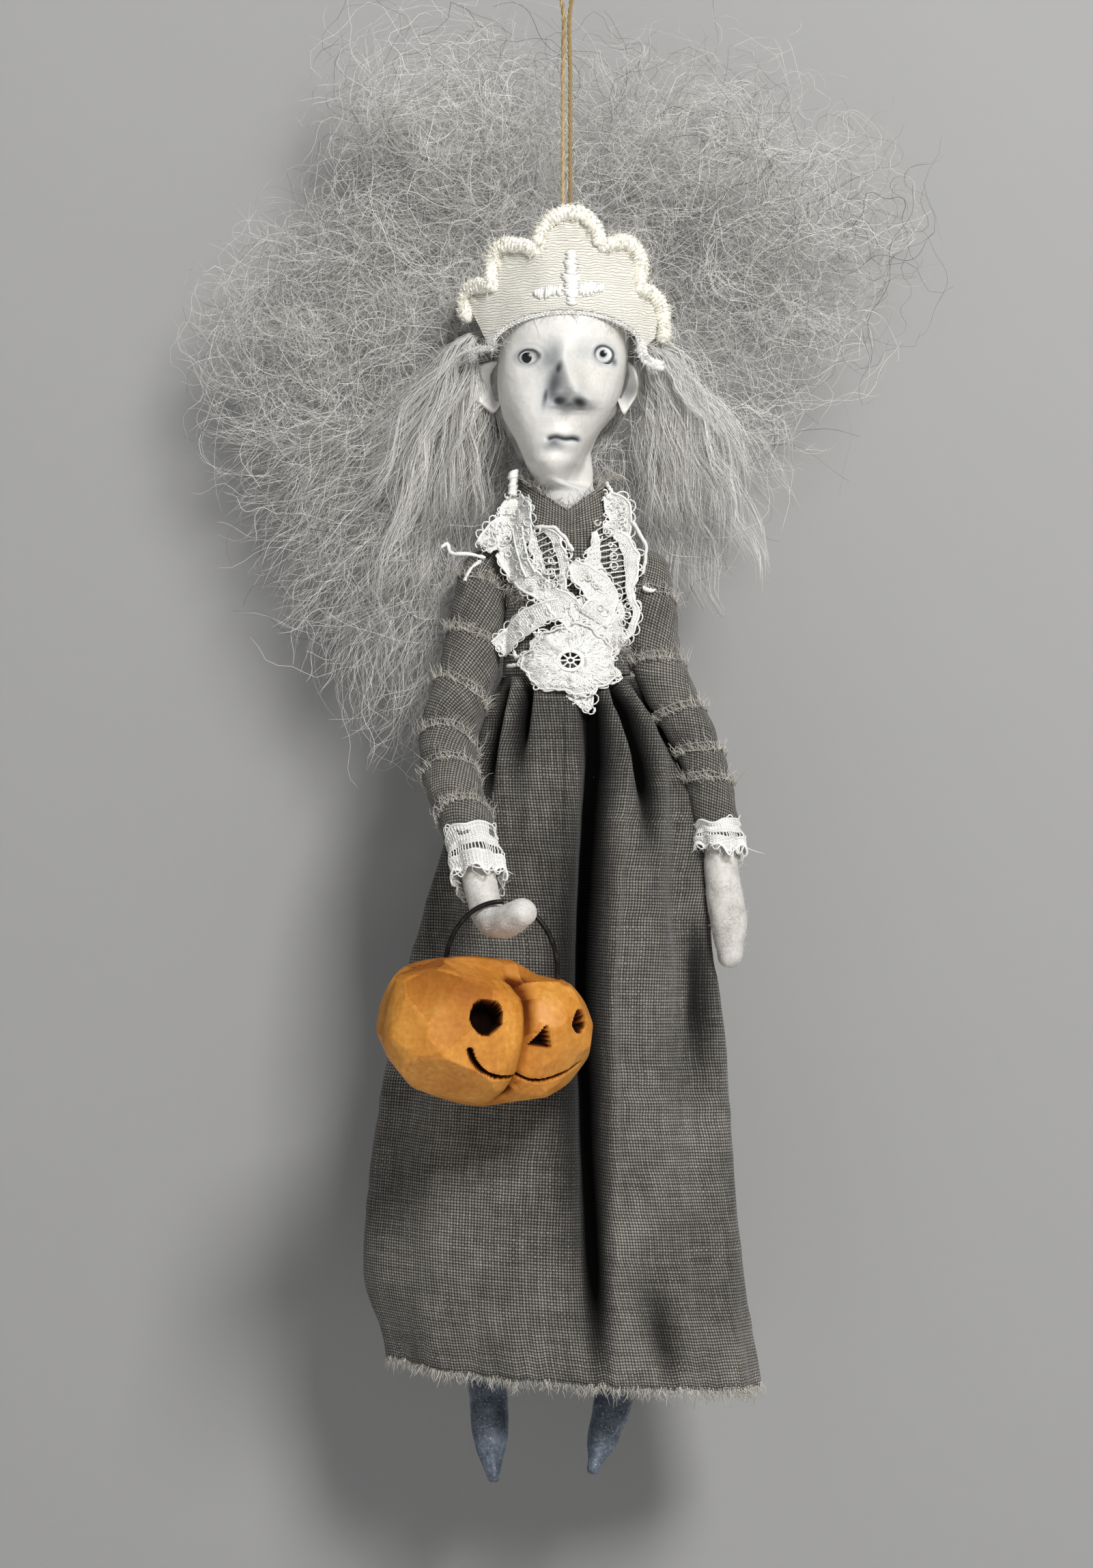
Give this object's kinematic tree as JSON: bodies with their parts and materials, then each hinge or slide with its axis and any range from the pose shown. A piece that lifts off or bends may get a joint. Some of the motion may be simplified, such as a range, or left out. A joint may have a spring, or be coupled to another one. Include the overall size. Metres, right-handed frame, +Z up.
{
  "type": "witch doll ornament",
  "caption": "Hanging witch doll with a sculpted head, mohair, scalloped cap, gathered linen dress, wrapped sleeves, dangling boots and a carved pumpkin on a wire bail.",
  "frame": {"origin": "inside of the top of the hanging loop, where a hook or pin carries the doll", "axes": "+Z up, -Y the way the doll faces, +X towards the doll's left hand"},
  "size_m": [0.1623, 0.0992, 0.3513],
  "materials": {
    "twine": "matte",
    "clay": "matte",
    "eye": "gloss",
    "dowel": "matte",
    "cap": "matte",
    "lace_cream": "matte",
    "mohair": "matte",
    "thread": "matte",
    "calico": "matte",
    "linen": "matte",
    "lace": "matte",
    "felt": "matte",
    "arm_wire": "satin",
    "stocking": "matte",
    "boot": "satin",
    "pumpkin": "satin",
    "bail": "satin"
  },
  "bodies": {
    "doll": {"hanging_twine": "twine", "head": "clay", "eye_right": "eye", "eye_left": "eye", "neck_dowel": "dowel", "cap_cloth": "cap", "cap_edging": "cap", "cap_band": "lace_cream", "hair_cloud": "mohair", "hair_lock_right": "mohair", "hair_lock_left": "mohair", "shoulder_thread": "thread", "hip_thread": "thread", "torso": "calico", "bodice": "linen", "skirt": "linen", "lace_collar_right": "lace", "lace_collar_left": "lace", "lace_leaf": "lace", "lace_rosette": "lace"},
    "right_arm": {"arm_right": "felt", "arm_wire_right": "arm_wire", "sleeve_right": "linen", "cuff_right": "lace"},
    "left_arm": {"arm_left": "felt", "arm_wire_left": "arm_wire", "sleeve_left": "linen", "cuff_left": "lace"},
    "pumpkin_pail": {"pumpkin": "pumpkin", "bail_wire": "bail"},
    "right_leg": {"leg_right": "stocking", "boot_right": "boot"},
    "left_leg": {"leg_left": "stocking", "boot_left": "boot"}
  },
  "joints": [
    {"name": "right_shoulder_swing", "type": "hinge", "parent": "doll", "child": "right_arm", "pos_m": [-0.02015, 0.0032, -0.14], "axis": [-1, 0, 0], "range_deg": [0, 75]},
    {"name": "left_shoulder_swing", "type": "hinge", "parent": "doll", "child": "left_arm", "pos_m": [0.02015, 0.0032, -0.14], "axis": [-1, 0, 0], "range_deg": [-10, 80]},
    {"name": "pumpkin_swing", "type": "hinge", "parent": "right_arm", "child": "pumpkin_pail", "pos_m": [-0.0145, -0.04143, -0.216], "axis": [-1, 0, 0], "range_deg": [-2, 60]},
    {"name": "right_hip_swing", "type": "hinge", "parent": "doll", "child": "right_leg", "pos_m": [-0.00715, 0, -0.2055], "axis": [-1, 0, 0], "range_deg": [-7, 7]},
    {"name": "left_hip_swing", "type": "hinge", "parent": "doll", "child": "left_leg", "pos_m": [0.00715, 0, -0.2055], "axis": [-1, 0, 0], "range_deg": [-7, 7]}
  ]
}
